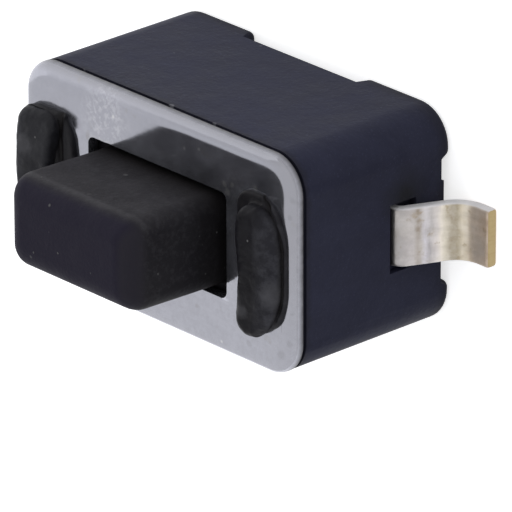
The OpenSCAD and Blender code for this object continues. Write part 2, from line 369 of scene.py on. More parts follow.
def black_plastic(name, dark, pale, grain, grain_depth, rough, dust, dust_colour, wear_and_light, **sockets):
    """Moulded plastic with a mottled colour, a fine grain, its own marks of use and painted light,
    and a little dust.
    """
    fleck_paler, lump_deeper, dust_height = 1.9, 3.0, 0.012
    material, tree, shader, place = finish(name, **sockets)
    slow = cloud(tree, place, 1.3, 4.0, 0.6)
    fine = cloud(tree, place, grain, 2.0, 0.6)
    colour = tint(tree, remap(tree, slow, 0.35, 0.68), dark, pale)
    fleck = remap(tree, cloud(tree, place, 26.0, 1.0, 0.5), 0.62, 0.74, 0.0, 0.25)
    colour = wear_and_light(tree, place, tint(tree, fleck, colour, tuple(c * fleck_paler for c in pale)))
    dots = specks(tree, place, 2.6, 0.085, dust)
    dots = plus(tree, dots, specks(tree, place, 5.5, 0.12, dust * 0.8))
    colour = tint(tree, times(tree, dots, 0.75), colour, dust_colour)
    tree.links.new(colour, shader.inputs["Base Color"])
    gloss = remap(tree, slow, 0.3, 0.7, rough - 0.06, rough + 0.06)
    tree.links.new(gloss, shader.inputs["Roughness"])
    normal = raised(tree, fine, grain_depth)
    normal = raised(tree, cloud(tree, place, 2.2, 3.0, 0.5), grain_depth * lump_deeper, normal)
    tree.links.new(raised(tree, dots, dust_height, normal), shader.inputs["Normal"])
    return material


# %% [markdown]
# Wear, and painted light and shade, are laid over that colour by place. A soft ramp on height, or
# on the way that a face points, gives painted shade along a rim, a painted highlight or sheen, or a
# dusty side, and a short list of spots gives single grains and scuffs. A painted image could hold
# these too, but spots stay sharp at any size and are easy to move.

# %% Dust and painted light on the plunger
DUSTY, POWDERY, FRONT_SHEEN = (0.072, 0.069, 0.075), (0.060, 0.058, 0.064), (0.0148, 0.0128, 0.0245)
EDGE_HIGHLIGHT, CORNER_LIGHT, PLATE_SHADE = (0.085, 0.083, 0.090), (0.026, 0.024, 0.030), (0.007, 0.006, 0.006)
GRAINS = ((0.06, 0.76, 4.57, 0.04), (0.47, 0.76, 4.64, 0.04), (-0.18, 0.76, 3.66, 0.04),
          (1.38, 0.7, 4.17, 0.04), (1.38, 0.19, 3.62, 0.03), (-0.82, -0.37, 5.0, 0.03))


def dust_and_painted_light(tree, place, colour):
    """Dust on the +Y side, a painted highlight along the upper edge, painted sheen on the face and
    its corner, and painted shade where it meets the plate.
    """
    nx, ny, nz = facing(tree)
    cloudy = remap(tree, cloud(tree, place, 2.4, 4.0, 0.65), 0.35, 0.7, 0.4, 1.0)
    upper = times(tree, remap(tree, ny, 0.3, 0.95), cloudy)
    colour = tint(tree, times(tree, upper, 0.34), colour, DUSTY)
    powder = remap(tree, cloud(tree, place, 10.0, 3.0, 0.7), 0.48, 0.64, 0.0, 0.22)
    colour = tint(tree, powder, colour, POWDERY)
    # Painted sheen: the face that points +Z is made bluer and lighter.
    colour = tint(tree, remap(tree, nz, 0.3, 0.65, 0.0, 0.9), colour, FRONT_SHEEN)
    # Painted highlight along the rounding between the +Y side and the face, mottled by the same
    # cloud.
    lit_ridge = times(tree, remap(tree, nz, 0.02, 0.15), remap(tree, nz, 0.45, 0.22))
    lit_ridge = times(tree, lit_ridge, remap(tree, ny, 0.3, 0.7))
    colour = tint(tree, times(tree, times(tree, lit_ridge, cloudy), 0.4), colour, EDGE_HIGHLIGHT)
    # Painted light on the rounding between the face and the +X side.
    corner = remap(tree, times(tree, nx, nz), 0.15, 0.4, 0.0, 0.7)
    colour = tint(tree, corner, colour, CORNER_LIGHT)
    height = directions(tree, place)[2]
    # Painted shade: darker towards the plate, where the plunger goes in under it.
    colour = tint(tree, remap(tree, height, 3.85, 3.2, 0.0, 0.8), colour, PLATE_SHADE)
    return tint(tree, times(tree, marks(tree, place, GRAINS), 0.35), colour, (0.15, 0.15, 0.15))


# %% Painted shade and scuffs on the housing
LEAD_SHADE, RIM_SHADE, SCUFFED = (0.011, 0.0112, 0.0125), (0.012, 0.0105, 0.011), (0.22, 0.22, 0.24)
LEAD_SHADE_AT = (3.0, 0.62, 0.95)       # over the right lead, and mirrored over the left one
SCUFFS = ((-2.57, 1.75, 2.96, 0.05), (0.06, 1.75, 2.96, 0.06), (1.0, 1.75, 2.96, 0.05),
          (-1.9, 1.75, 2.97, 0.04), (-2.9, 1.6, 2.97, 0.05))


def shade_and_scuffs(tree, place, colour):
    """Painted shade over each lead, under the plate, along the underside and on the -Y side, and
    pale scuffs along the plate's edge.
    """
    x, y, z = directions(tree, place)
    folded = add(tree, "ShaderNodeCombineXYZ", {"X": calc(tree, "ABSOLUTE", x), "Y": y, "Z": z})
    # Painted shade above each lead's root, with a ragged edge.
    far = distance(tree, folded.outputs[0], LEAD_SHADE_AT)
    lead_shade_spread = plus(tree, far, times(tree, cloud(tree, place, 3.0, 3.0, 0.6), 0.25))
    colour = tint(tree, remap(tree, lead_shade_spread, 0.66, 0.2, 0.0, 0.85), colour, LEAD_SHADE)
    # Painted shade just under the plate, along the underside and on the -Y side.
    wander = times(tree, cloud(tree, place, 4.0, 3.0, 0.6), 0.2)
    height = plus(tree, z, wander)
    rims = plus(tree, remap(tree, height, 2.92, 3.04), remap(tree, height, 0.42, 0.2))
    rims = plus(tree, rims, remap(tree, plus(tree, y, wander), -1.35, -1.6))
    colour = tint(tree, times(tree, rims, 0.5), colour, RIM_SHADE)
    return tint(tree, times(tree, marks(tree, place, SCUFFS), 0.6), colour, SCUFFED)


# %% Posts: scorching, painted light and shade
GREY, SIDE_SHEEN, ASHEN = (0.055, 0.055, 0.064), (0.036, 0.036, 0.046), (0.085, 0.084, 0.092)
FOOT_SHADE, SHADE_IN_SEAM = (0.012, 0.011, 0.012), (0.005, 0.004, 0.004)
ASH = ((2.82, -0.35, 3.45, 0.30), (2.83, 0.8, 3.45, 0.22), (2.2, -0.7, 3.5, 0.16),
       (-1.96, 1.17, 3.28, 0.10), (-2.6, 0.5, 3.6, 0.2))


def scorched_and_lit(lit_from, lit_to, amount):
    """Grey patches of scorching, with painted light along X and painted shade at the foot and in the
    seam, for a melted post.
    """
    def patches(tree, place, colour):
        along, _, height = directions(tree, place)
        # Painted light: paler, with stronger grey patches, towards the side of the lump that catches
        # the light.
        side = remap(tree, along, lit_from, lit_to)
        grey = remap(tree, cloud(tree, place, 3.6, 4.0, 0.7), 0.42, 0.66)
        grey = times(tree, plus(tree, times(tree, side, amount), 0.06), grey)
        colour = tint(tree, grey, colour, GREY)
        colour = tint(tree, times(tree, side, 0.35), colour, SIDE_SHEEN)
        colour = tint(tree, times(tree, marks(tree, place, ASH), 0.45), colour, ASHEN)
        # Painted shade at the lump's foot, where it meets the plate.
        colour = tint(tree, remap(tree, height, 3.36, 3.30, 0.0, 0.45), colour, FOOT_SHADE)
        # Painted shade in the seam and pits, read from the skin.
        seam_shade = add(tree, "ShaderNodeAttribute", attribute_name="seam_shade").outputs["Fac"]
        return tint(tree, times(tree, seam_shade, 0.9), colour, SHADE_IN_SEAM)
    return patches


# %% The four blacks
moulded = black_plastic(
    "moulded black", dark=(0.0180, 0.0190, 0.0360), pale=(0.0270, 0.0286, 0.0510), grain=14.0,
    grain_depth=0.006, rough=0.55, dust=0.05, dust_colour=(0.16, 0.16, 0.18), wear_and_light=shade_and_scuffs,
    Specular_IOR_Level=0.07)
dry_black = black_plastic(
    "plunger black", dark=(0.013, 0.012, 0.015), pale=(0.019, 0.018, 0.021), grain=18.0,
    grain_depth=0.006, rough=0.6, dust=0.16, dust_colour=(0.12, 0.12, 0.12), wear_and_light=dust_and_painted_light,
    Specular_IOR_Level=0.07)
# Lit and shaded copies of one plastic: the right post's copy is darker as painted shade, the left
# post's lighter as painted light.
melted_shaded_right = black_plastic(
    "melted black, shaded right", dark=(0.0055, 0.005, 0.007), pale=(0.0115, 0.011, 0.014), grain=9.0,
    grain_depth=0.010, rough=0.5, dust=0.10, dust_colour=(0.2, 0.2, 0.2),
    wear_and_light=scorched_and_lit(2.42, 2.66, 0.9), Specular_IOR_Level=0.12)
melted_lit_left = black_plastic(
    "melted black, lit left", dark=(0.010, 0.010, 0.013), pale=(0.019, 0.019, 0.023), grain=9.0,
    grain_depth=0.010, rough=0.5, dust=0.10, dust_colour=(0.2, 0.2, 0.2),
    wear_and_light=scorched_and_lit(-2.6, -2.85, 0.5), Specular_IOR_Level=0.15)
print("blacks:", [m.name for m in (moulded, dry_black, melted_shaded_right, melted_lit_left)])

# %% [markdown]
# ## Metals
# The plate is bright rolled stainless sheet, close to a mirror, with faint rolling lines along its
# length and a few dull smudges. A thin film of dirt takes a little of the metal's mirror away in
# patches, and the sheared edge is dull and torn where the punch broke through. Painted reflection
# and shade darken the plate towards +Y, over its rolled edge, towards the right end and on the
# sheared edge. A slight dish in the bump bends the reflections, as in any thin sheet that was
# punched and staked.

# %% Steel: colour
steel, tree, shader, place = finish("rolled steel")
x, y, z = directions(tree, place)
lines = cloud(tree, stretched(tree, place, (0.6, 26.0, 26.0)), 1.0, 3.0, 0.6)
smudge = remap(tree, cloud(tree, place, 0.9, 5.0, 0.7), 0.55, 0.75)
spot = remap(tree, cloud(tree, place, 3.1, 2.0, 0.6), 0.66, 0.74)
grain = remap(tree, cloud(tree, place, 8.0, 4.0, 0.7), 0.42, 0.62, 0.0, 0.5)
colour = tint(tree, lines, (0.40, 0.405, 0.455), (0.45, 0.455, 0.51))
colour = tint(tree, grain, colour, (0.37, 0.375, 0.42))
# Painted reflection: the plate darkens towards +Y, and more over its rolled edge.
colour = tint(tree, remap(tree, y, 0.2, 1.6, 0.0, 0.7), colour, (0.33, 0.335, 0.385))
colour = tint(tree, remap(tree, y, 1.58, 1.72, 0.0, 0.8), colour, (0.24, 0.24, 0.265))
# Painted reflection: darker towards the right end.
right_end_shade = times(tree, remap(tree, x, 2.3, 2.8), remap(tree, y, -1.2, 0.3, 0.3, 0.8))
colour = tint(tree, right_end_shade, colour, (0.33, 0.33, 0.365))
colour = tint(tree, times(tree, spot, 0.35), colour, (0.30, 0.29, 0.29))
film = remap(tree, cloud(tree, place, 1.6, 4.0, 0.65), 0.35, 0.7, 0.95, 0.84)
tree.links.new(film, shader.inputs["Metallic"])

# %% Steel: grit, grease, frosting, and the sheared edge with painted shade
GRIT = ((1.67, 1.04, 3.2, 0.05), (1.56, 0.89, 3.2, 0.07), (2.17, 1.15, 3.2, 0.06),
        (0.62, 1.32, 3.2, 0.04), (0.95, 1.39, 3.2, 0.04), (1.50, 1.0, 3.2, 0.05))
GREASE = ((2.73, -1.36, 3.2, 0.10), (2.03, -1.39, 3.2, 0.06), (2.88, -1.14, 3.19, 0.08),
          (2.94, 1.16, 3.15, 0.07), (2.93, -0.65, 3.17, 0.05), (2.9, 0.9, 3.18, 0.05))
FROST = ((-1.15, 1.22, 3.2, 0.60), (1.75, 1.0, 3.2, 0.3))
grit = plus(tree, marks(tree, place, GRIT), times(tree, specks(tree, place, 4.2, 0.16, 0.10), 0.6))
colour = tint(tree, times(tree, grit, 0.7), colour, (0.75, 0.75, 0.75))
colour = tint(tree, times(tree, marks(tree, place, GREASE), 0.2), colour, (0.18, 0.18, 0.19))
sandy = remap(tree, cloud(tree, place, 11.0, 3.0, 0.75), 0.46, 0.62)
frost = times(tree, marks(tree, place, FROST), sandy)
colour = tint(tree, times(tree, frost, 0.28), colour, (0.72, 0.72, 0.76))
torn_and_shaded = plus(tree, z, times(tree, cloud(tree, place, 7.0, 3.0, 0.7), 0.05))
torn_and_shaded = remap(tree, torn_and_shaded, 3.15, 3.03)
# Painted shade: the sheared edge is made nearly black. It is also rougher, in the shine below.
colour = tint(tree, times(tree, torn_and_shaded, 0.92), colour, (0.04, 0.038, 0.04))
tree.links.new(colour, shader.inputs["Base Color"])

# %% Steel: shine and dish
dull = plus(tree, times(tree, smudge, 0.06), times(tree, torn_and_shaded, 0.4))
shine = plus(tree, remap(tree, lines, 0.3, 0.7, 0.10, 0.15), dull)
tree.links.new(shine, shader.inputs["Roughness"])
dish = plus(tree, times(tree, times(tree, y, y), 0.008), times(tree, times(tree, x, y), 0.014))
normal = raised(tree, dish, 1.0, raised(tree, lines, 0.0003))
normal = raised(tree, cloud(tree, place, 1.1, 2.0, 0.5), 0.006, normal)
tree.links.new(normal, shader.inputs["Normal"])

# %% [markdown]
# The leads are brass strip with silver plating: warm, blotchy, and worn through in the crease of
# the bend and in spots. Along the strip the bends mirror light and shade, so the finish first works
# out how far along the strip a place lies, and a colour ramp over that run holds the bands: the
# plating's tone with painted reflections, highlights and shade. The sheared sides are pale and
# dull, and the tips were cut after plating, so bare brass shows there.

# %% Silver plate: tone and painted reflections along the strip
RUN_FROM, RUN_TO = 1.6, 3.8        # millimetres along the strip that the ramp covers
# Tone and painted light along the strip: the bright stops are painted reflections and highlights on
# the bends, the darkest one by the wall painted shade.
TONE_AND_LIGHT_BANDS = ((1.6, (0.28, 0.26, 0.25)), (1.75, (0.40, 0.38, 0.37)), (1.9, (0.42, 0.40, 0.40)),
         (2.14, (0.45, 0.42, 0.42)), (2.36, (0.43, 0.40, 0.39)), (2.47, (0.54, 0.52, 0.56)),
         (2.58, (0.39, 0.37, 0.38)), (2.69, (0.57, 0.53, 0.52)), (2.80, (0.73, 0.67, 0.59)),
         (2.90, (0.58, 0.53, 0.43)), (3.02, (0.34, 0.29, 0.21)), (3.12, (0.33, 0.28, 0.19)),
         (3.25, (0.62, 0.55, 0.43)), (3.34, (0.60, 0.53, 0.42)), (3.43, (0.55, 0.45, 0.34)),
         (3.55, (0.60, 0.51, 0.43)), (3.75, (0.48, 0.37, 0.28)))
silver, tree, shader, place = finish("silver plate")
x, y, z = directions(tree, place)
run = plus(tree, calc(tree, "ABSOLUTE", x), times(tree, z, -1.024))
wander = cloud(tree, stretched(tree, place, (2.0, 1.0, 2.0)), 2.5, 3.0, 0.6)
uneven = plus(tree, run, remap(tree, wander, 0.3, 0.7, -0.05, 0.05))
bands = add(tree, "ShaderNodeValToRGB", {"Fac": remap(tree, uneven, RUN_FROM, RUN_TO)})
stops = bands.color_ramp.elements
stops.remove(stops[1])
for index, (at, tone) in enumerate(TONE_AND_LIGHT_BANDS):
    part = (at - RUN_FROM) / (RUN_TO - RUN_FROM)
    stop = stops.new(part) if index else stops[0]
    stop.position, stop.color = part, (*tone, 1.0)
print("bands on the strip:", len(stops))

# %% Silver plate: crease, wear and sheared sides
CREASED, WORN, STREAKED = (0.24, 0.19, 0.14), (0.30, 0.23, 0.14), (0.30, 0.27, 0.23)
WORN_SPOTS = ((3.10, 0.34, 0.89, 0.10), (3.09, -0.33, 0.89, 0.09), (3.17, 0.38, 0.80, 0.05))
blotch = cloud(tree, place, 3.2, 4.0, 0.65)
pale = remap(tree, blotch, 0.38, 0.62, 0.0, 0.25)
colour = tint(tree, pale, bands.outputs["Color"], (0.86, 0.83, 0.80))
crease = times(tree, remap(tree, run, 2.22, 2.30), remap(tree, run, 2.40, 2.32))
patchy = cloud(tree, stretched(tree, place, (1.0, 1.0, 0.4)), 5.5, 3.0, 0.6)
patchy = plus(tree, times(tree, remap(tree, patchy, 0.46, 0.60), 0.5), 0.35)
colour = tint(tree, times(tree, crease, patchy), colour, CREASED)
worn = times(tree, remap(tree, cloud(tree, place, 6.0, 3.0, 0.6), 0.60, 0.70), 0.5)
worn = plus(tree, worn, times(tree, marks(tree, place, WORN_SPOTS), 0.8))
colour = tint(tree, worn, colour, WORN)
rub = remap(tree, cloud(tree, stretched(tree, place, (0.5, 3.0, 0.5)), 2.2, 3.0, 0.6), 0.4, 0.6)
colour = tint(tree, times(tree, rub, 0.22), colour, STREAKED)
sheared = remap(tree, calc(tree, "ABSOLUTE", facing(tree)[1]), 0.55, 0.85)
colour = tint(tree, times(tree, sheared, 0.85), colour, (0.80, 0.79, 0.80))
tree.links.new(colour, shader.inputs["Base Color"])
tree.links.new(remap(tree, sheared, 0.0, 1.0, 1.0, 0.25), shader.inputs["Metallic"])
matt = plus(tree, remap(tree, run, 3.35, 3.5, 0.0, 0.25), times(tree, sheared, 0.2))
matt = plus(tree, remap(tree, blotch, 0.35, 0.65, 0.42, 0.28), matt)
tree.links.new(matt, shader.inputs["Roughness"])
tree.links.new(raised(tree, cloud(tree, place, 9.0, 3.0, 0.6), 0.004), shader.inputs["Normal"])

# %% Bare brass
brass, tree, shader, place = finish("bare brass", Metallic=1.0)
tear = cloud(tree, stretched(tree, place, (8.0, 8.0, 1.5)), 2.0, 3.0, 0.6)
colour = tint(tree, tear, (0.30, 0.22, 0.10), (0.52, 0.42, 0.24))
tree.links.new(colour, shader.inputs["Base Color"])
tree.links.new(remap(tree, tear, 0.3, 0.7, 0.35, 0.55), shader.inputs["Roughness"])
tree.links.new(raised(tree, tear, 0.01), shader.inputs["Normal"])

# %% [markdown]
# The dome is tempered spring steel, rolled very thin. The rolling leaves fine lines along X, and
# the same stretched noise as on the plate gives them to its colour and its shine.

# %% Spring steel
spring, tree, shader, place = finish("spring steel", Metallic=1.0)
sweep = cloud(tree, stretched(tree, place, (2.0, 30.0, 30.0)), 1.0, 2.0, 0.5)
colour = tint(tree, sweep, (0.55, 0.53, 0.50), (0.68, 0.66, 0.62))
tree.links.new(colour, shader.inputs["Base Color"])
tree.links.new(remap(tree, sweep, 0.3, 0.7, 0.22, 0.34), shader.inputs["Roughness"])
print("metals:", [m.name for m in (steel, silver, brass, spring)])

# %% [markdown]
# ## The housing
# It is one moulding: a block with round corners, open on top for the button and the dome, with
# four stand-off feet so that solder and flux stay clear of it. The walls and the open inside are
# one pile of rings. The feet then grow down out of the underside, the way the mould cuts them:
# the flat underside is cut along the feet's edges, and only the corner pieces are pulled down.

# %% Housing walls and inside
# Length, width and corner radius of the block, its stepped rim, and the two steps of the inside.
BLOCK, RIM, WELL, NEST = (6.0, 3.5, 0.6), (5.92, 3.42, 0.6), (3.42, 2.26, 0.2), (2.8, 2.1, 0.1)
UNDERSIDE, RIM_STEP, TOP, WELL_FLOOR, NEST_FLOOR = 0.3, 2.94, 3.0, 1.77, 1.17      # heights
END, SIDE = BLOCK[0] / 2, BLOCK[1] / 2
bm = bmesh.new()
stack(bm, [(*BLOCK, UNDERSIDE), (*BLOCK, RIM_STEP), (*RIM, RIM_STEP), (*RIM, TOP), (*WELL, TOP),
           (*WELL, WELL_FLOOR), (*NEST, WELL_FLOOR), (*NEST, NEST_FLOOR)], steps=12)
outward(bm)

# %% Helpers that cut and pull flat faces


def cut_faces(bm, faces, point, normal):
    """Cuts only the given faces along a plane."""
    parts = set(faces) | {e for f in faces for e in f.edges} | {v for f in faces for v in f.verts}
    bmesh.ops.bisect_plane(bm, geom=list(parts), dist=1e-5, plane_co=point, plane_no=normal)
    bm.normal_update()


def under(bm, height, test):
    """Faces of the underside at a height, whose middle passes a test."""
    return [f for f in bm.faces if f.normal.z < -0.9 and near(f.calc_center_median().z, height)
            and test(*f.calc_center_bounds())]


def pull(bm, faces, shift):
    """Pulls faces out, with new walls behind them, and drops the faces left inside."""
    made = bmesh.ops.extrude_face_region(bm, geom=faces)["geom"]
    bmesh.ops.delete(bm, geom=faces, context="FACES")
    bmesh.ops.translate(bm, vec=shift, verts=[v for v in made if isinstance(v, bmesh.types.BMVert)])
    bm.normal_update()
    return [f for f in made if isinstance(f, bmesh.types.BMFace)]


# %% Housing underside: waist, feet and lead pads
WAIST, FOOT_Y, PAD_X, PAD_Y = 1.25, 1.0, 2.5, 0.65     # where each begins, from the middle
LOWER = 0.2                                            # the underside beyond the waist
for x in (-WAIST, WAIST):
    cut_faces(bm, under(bm, UNDERSIDE, lambda *p: True), (x, 0, 0), (1, 0, 0))
pull(bm, under(bm, UNDERSIDE, lambda x, y, z: abs(x) > WAIST + 0.05), (0, 0, -0.1))
for y in (-FOOT_Y, -PAD_Y, PAD_Y, FOOT_Y):
    cut_faces(bm, under(bm, LOWER, lambda *p: True), (0, y, 0), (0, 1, 0))
pull(bm, under(bm, LOWER, lambda x, y, z: abs(y) > FOOT_Y + 0.05), (0, 0, -LOWER))
for x in (-PAD_X, PAD_X):
    cut_faces(bm, under(bm, LOWER, lambda x, y, z: abs(y) < 0.6), (x, 0, 0), (1, 0, 0))
pull(bm, under(bm, LOWER, lambda x, y, z: abs(y) < 0.6 and abs(x) > PAD_X), (0, 0, -0.05))
bmesh.ops.dissolve_limit(bm, angle_limit=math.radians(0.5), verts=bm.verts, edges=bm.edges)
print("underside faces:", len([f for f in bm.faces if f.normal.z < -0.9]))

# %% [markdown]
# The leads leave through a shallow pocket in each end wall. Cutting the flat end wall along the
# pocket's four sides and pushing the middle piece in gives it without touching the round corners.

# %% Lead pockets
POCKET_LOW, POCKET_HIGH, POCKET_HALF, POCKET_DEEP = 0.72, 1.25, 0.55, 0.14


def end_wall(bm, side, low=-9.0, high=9.0, half=9.0):
    """Flat faces of one end wall whose middle lies between two heights and near the middle."""
    return [f for f in bm.faces
            if f.normal.x * side > 0.99 and near(f.calc_center_median().x, END * side)
            and low < f.calc_center_bounds().z < high and abs(f.calc_center_bounds().y) < half]


for side in (-1, 1):
    for height in (POCKET_LOW, POCKET_HIGH):
        cut_faces(bm, end_wall(bm, side), (0, 0, height), (0, 0, 1))
    band = (POCKET_LOW + 0.03, POCKET_HIGH - 0.05)
    for y in (-POCKET_HALF, POCKET_HALF):
        cut_faces(bm, end_wall(bm, side, *band), (0, y, 0), (0, 1, 0))
    pull(bm, end_wall(bm, side, *band, 0.2), (-POCKET_DEEP * side, 0, 0))

# %% [markdown]
# A mould leaves no truly sharp edge. The corners of the waist and feet are round enough to see, the
# feet's undersides are well rounded, and the rim under the plate only just loses its edge.

# %% Housing edges


def upright(edges):
    """Those of some edges that stand up rather than lie flat."""
    return [e for e in edges if abs(e.verts[0].co.z - e.verts[1].co.z) > 0.1]


waist_inner = edges_where(bm, lambda x, y, z: z < 0.35 and near(abs(x), WAIST)
                          and near(abs(y), FOOT_Y))
soften(bm, waist_inner, 0.15, 4)
waist_outer = edges_where(bm, lambda x, y, z: z < 0.35 and near(abs(x), WAIST)
                          and near(abs(y), SIDE))
soften(bm, upright(waist_outer), 0.12, 4)
foot_ends = edges_where(bm, lambda x, y, z: z < 0.25 and near(abs(x), END)
                        and near(abs(y), FOOT_Y))
soften(bm, upright(foot_ends), 0.12, 4)
soften(bm, edges_where(bm, lambda x, y, z: near(z, 0.0)), 0.19, 6)
rim_edge = edges_where(bm, lambda x, y, z: near(z, RIM_STEP)
                       and (abs(x) > END - 0.03 or near(abs(y), SIDE)))
soften(bm, rim_edge, 0.02, 2)
housing = to_object(bm, "housing_shell", "base", ["housing"])
housing.data.materials.append(moulded)

# %% [markdown]
# ## The melted posts
# Each post is staked: a hot tool squashed it into a thin skirt on the plate and left a tall lump
# near the body's end. A lump of melted plastic has no drawn edges, so the skirt, the lump and the
# post are piled loosely, a voxel remesh flows them into one skin, and noise moves that skin a few
# hundredths of a millimetre.

# %% Remesh and soft step


def remeshed(piece, voxel):
    """Applies a voxel remesh and gives the new mesh."""
    skin = piece.modifiers.new("skin", "REMESH")
    skin.mode, skin.voxel_size, skin.use_smooth_shade = "VOXEL", voxel * MM, True
    graph = bpy.context.evaluated_depsgraph_get()
    mesh = bpy.data.meshes.new_from_object(piece.evaluated_get(graph))
    piece.modifiers.clear()
    piece.data = mesh
    return mesh


def ramp(value, low, high):
    """A soft step from 0 to 1."""
    part = min(1.0, max(0.0, (value - low) / (high - low)))
    return part * part * (3 - 2 * part)


# %% Melted posts
POST, POST_AT, POST_TOP = (0.86, 1.9, 0.28), 2.3, 3.22     # its plan, its x and its top
VOXEL = 0.016
LUMPS = ((1.7, 0.026), (4.5, 0.014), (11.0, 0.006))        # fineness and height of each noise


def melted_post(name, side, shapes, carve, finish_with, seed):
    """Piles the boxes (x from, x to, y from, y to, corner, low, high, rounding) on one post."""
    bm = bmesh.new()
    stack(bm, [(*POST, 2.9, POST_AT * side), (*POST, POST_TOP, POST_AT * side)])
    for x0, x1, y0, y1, corner, low, high, over in shapes:
        plan = (x1 - x0, y1 - y0, corner)
        rings = [(*plan, low, (x0 + x1) / 2)] + quarter(*plan, high, over, (x0 + x1) / 2, 0.4)
        stack(bm, [(*each, (y0 + y1) / 2) for each in rings])
    piece = to_object(bm, name, "base", ["housing"], weighted=False)
    mesh = remeshed(piece, VOXEL)
    bm = bmesh.new()
    bm.from_mesh(mesh)
    for _ in range(2):
        bmesh.ops.smooth_vert(bm, verts=bm.verts, factor=0.5, use_axis_x=True, use_axis_y=True,
                              use_axis_z=True)
    bm.normal_update()
    seam_shade = bm.verts.layers.float.new("seam_shade")
    for v in bm.verts:
        at = v.co / MM
        if at.z > 3.1 and side * at.x > 0.0:
            lumps = 0.0
            for axis, (fineness, height) in enumerate(LUMPS):
                start = Vector((0, 0, 0))
                start[axis] = seed
                lumps += noise.noise(at * fineness + start) * height
            v.co += v.normal * lumps * ramp(at.z, 3.205, 3.3) * MM
            shift, depth, v[seam_shade] = carve(at)
            v.co.x += shift * MM
            v.co.z -= depth * ramp(at.z, 3.205, 3.26) * MM
    bm.to_mesh(mesh)
    bm.free()
    for face in mesh.polygons:
        face.use_smooth = True
    mesh.materials.append(finish_with)
    print(name, "skin faces:", len(mesh.polygons))


# %% [markdown]
# The hot tool came down at a slant, so each head gets its own carving: a function that looks at a
# place on the skin and says how far it moves in, how far it sinks, and how much painted shade it
# gets there. That shade is kept on the skin, where the post's finish reads it.

# %% Carving of each head


def carve_right(at):
    """Draws the outer side in at both ends, hollows the top, slopes it, and sinks the seam and two
    pits, which get painted shade.
    """
    ends = max(0.0, (abs(at.y + 0.02) - 0.3) / 0.68) ** 2
    shift = -0.20 * ends * ramp(at.x, 2.3, 2.75)
    high = ramp(at.z, 3.3, 3.42)
    depth = high * (0.12 * ramp(at.x, 2.3, 2.8) + 0.03 * math.exp(-((at.x - 2.36) / 0.13) ** 2))
    # Painted shade in the groove at the lump's foot and in two pits.
    seam = max(0.0, 1.0 - abs(at.x + 0.12 * ends - 2.80) / 0.07) * ramp(at.z, 3.43, 3.35)
    for pit in ((2.70, 0.98, 3.27), (2.68, -1.0, 3.26)):
        seam = max(seam, 1.4 * max(0.0, 1.0 - (at - Vector(pit)).length / 0.10))
    return shift, depth + 0.05 * min(1.0, seam), min(1.0, seam)


def carve_left(at):
    """Slants the skirt's inner side, slopes the top, and sinks the foot of the wall, which gets
    painted shade.
    """
    slant = max(0.0, at.y - 0.1)
    shift = -0.20 * slant * ramp(at.x, -2.05, -1.75) * ramp(at.z, 3.36, 3.30)
    shift += (0.10 * ramp(at.y, 0.2, 0.8) - 0.05) * ramp(at.x, -2.5, -2.2) * ramp(at.z, 3.30, 3.36)
    high = ramp(at.z, 3.3, 3.42)
    depth = high * (0.05 * ramp(at.x, -2.7, -2.2) + 0.10 * ramp(at.x, -2.72, -2.9)
                    + 0.12 * max(0.0, min(1.0, (at.y - 0.55) / 0.5)) ** 2)
    seam = max(0.0, 1.0 - abs(at.x + 2.06) / 0.09) * ramp(at.z, 3.44, 3.36)
    return shift, depth + 0.04 * seam, seam


# %% The two posts
melted_post("post_right", 1, [(1.83, 2.87, -1.08, 1.10, 0.30, 3.18, 3.27, 0.05),
                              (2.05, 2.78, -1.13, 0.97, 0.28, 3.2, 3.56, 0.16)],
            carve_right, melted_shaded_right, seed=3.7)
melted_post("post_left", -1, [(-2.94, -1.70, -1.12, 1.07, 0.40, 3.18, 3.29, 0.06),
                              (-2.91, -2.12, -1.1, 1.04, 0.26, 3.2, 3.56, 0.09)],
            carve_left, melted_lit_left, seed=11.2)

# %% [markdown]
# ## The cover plate
# It was blanked from sheet, so its outer edge is rounded where the punch pulled the metal in. Flat
# caps with three holes are filled between the rings, and the rings carry the edges down.

# %% Cover plate
PLATE, OPENING, SLOT = (6.0, 3.5, 0.58), (3.06, 1.7, 0.12), (0.9, 1.94, 0.3)
PLATE_TOP, PLATE_FOOT = 3.2, 3.0
ROLLED_EDGE = ((0.26, PLATE_TOP), (0.21, 3.198), (0.16, 3.192), (0.11, 3.181), (0.07, 3.166),
               (0.04, 3.145), (0.018, 3.118), (0.005, 3.085), (0.0, 3.05), (0.0, 3.01),
               (0.006, PLATE_FOOT))


def grown(plan, by, height, x=0.0):
    """A ring of a plan that has grown by the same amount all round."""
    length, width, corner = plan
    return length + 2 * by, width + 2 * by, corner + by, height, x


bm = bmesh.new()
stack(bm, [grown(PLATE, -inset, z) for inset, z in ROLLED_EDGE], caps=False, steps=12)
stack(bm, [grown(OPENING, by, z) for by, z in
           ((0.02, PLATE_TOP), (0.006, 3.194), (0.0, 3.18), (0.0, PLATE_FOOT))],
      caps=False, steps=12)
for side in (-1, 1):
    stack(bm, [grown(SLOT, by, z, POST_AT * side) for by, z in
               ((0.015, PLATE_TOP), (0.0, 3.185), (0.0, PLATE_FOOT))], caps=False, steps=12)
for height in (PLATE_TOP, PLATE_FOOT):
    rims = [e for e in bm.edges if e.is_boundary and near(e.verts[0].co.z, height)]
    bmesh.ops.triangle_fill(bm, use_beauty=True, use_dissolve=False, edges=rims)
plate = to_object(bm, "cover_sheet", "base", ["cover_plate"])
plate.data.materials.append(steel)

# %% [markdown]
# ## The plunger
# A round pip presses the dome, a wide flange keeps the plunger under the plate, and the button
# itself has round upright edges that run over into a flat face. It is one pile of rings from pip
# to face. Its upper part leans a hair, as a loose plunger does in its guide.

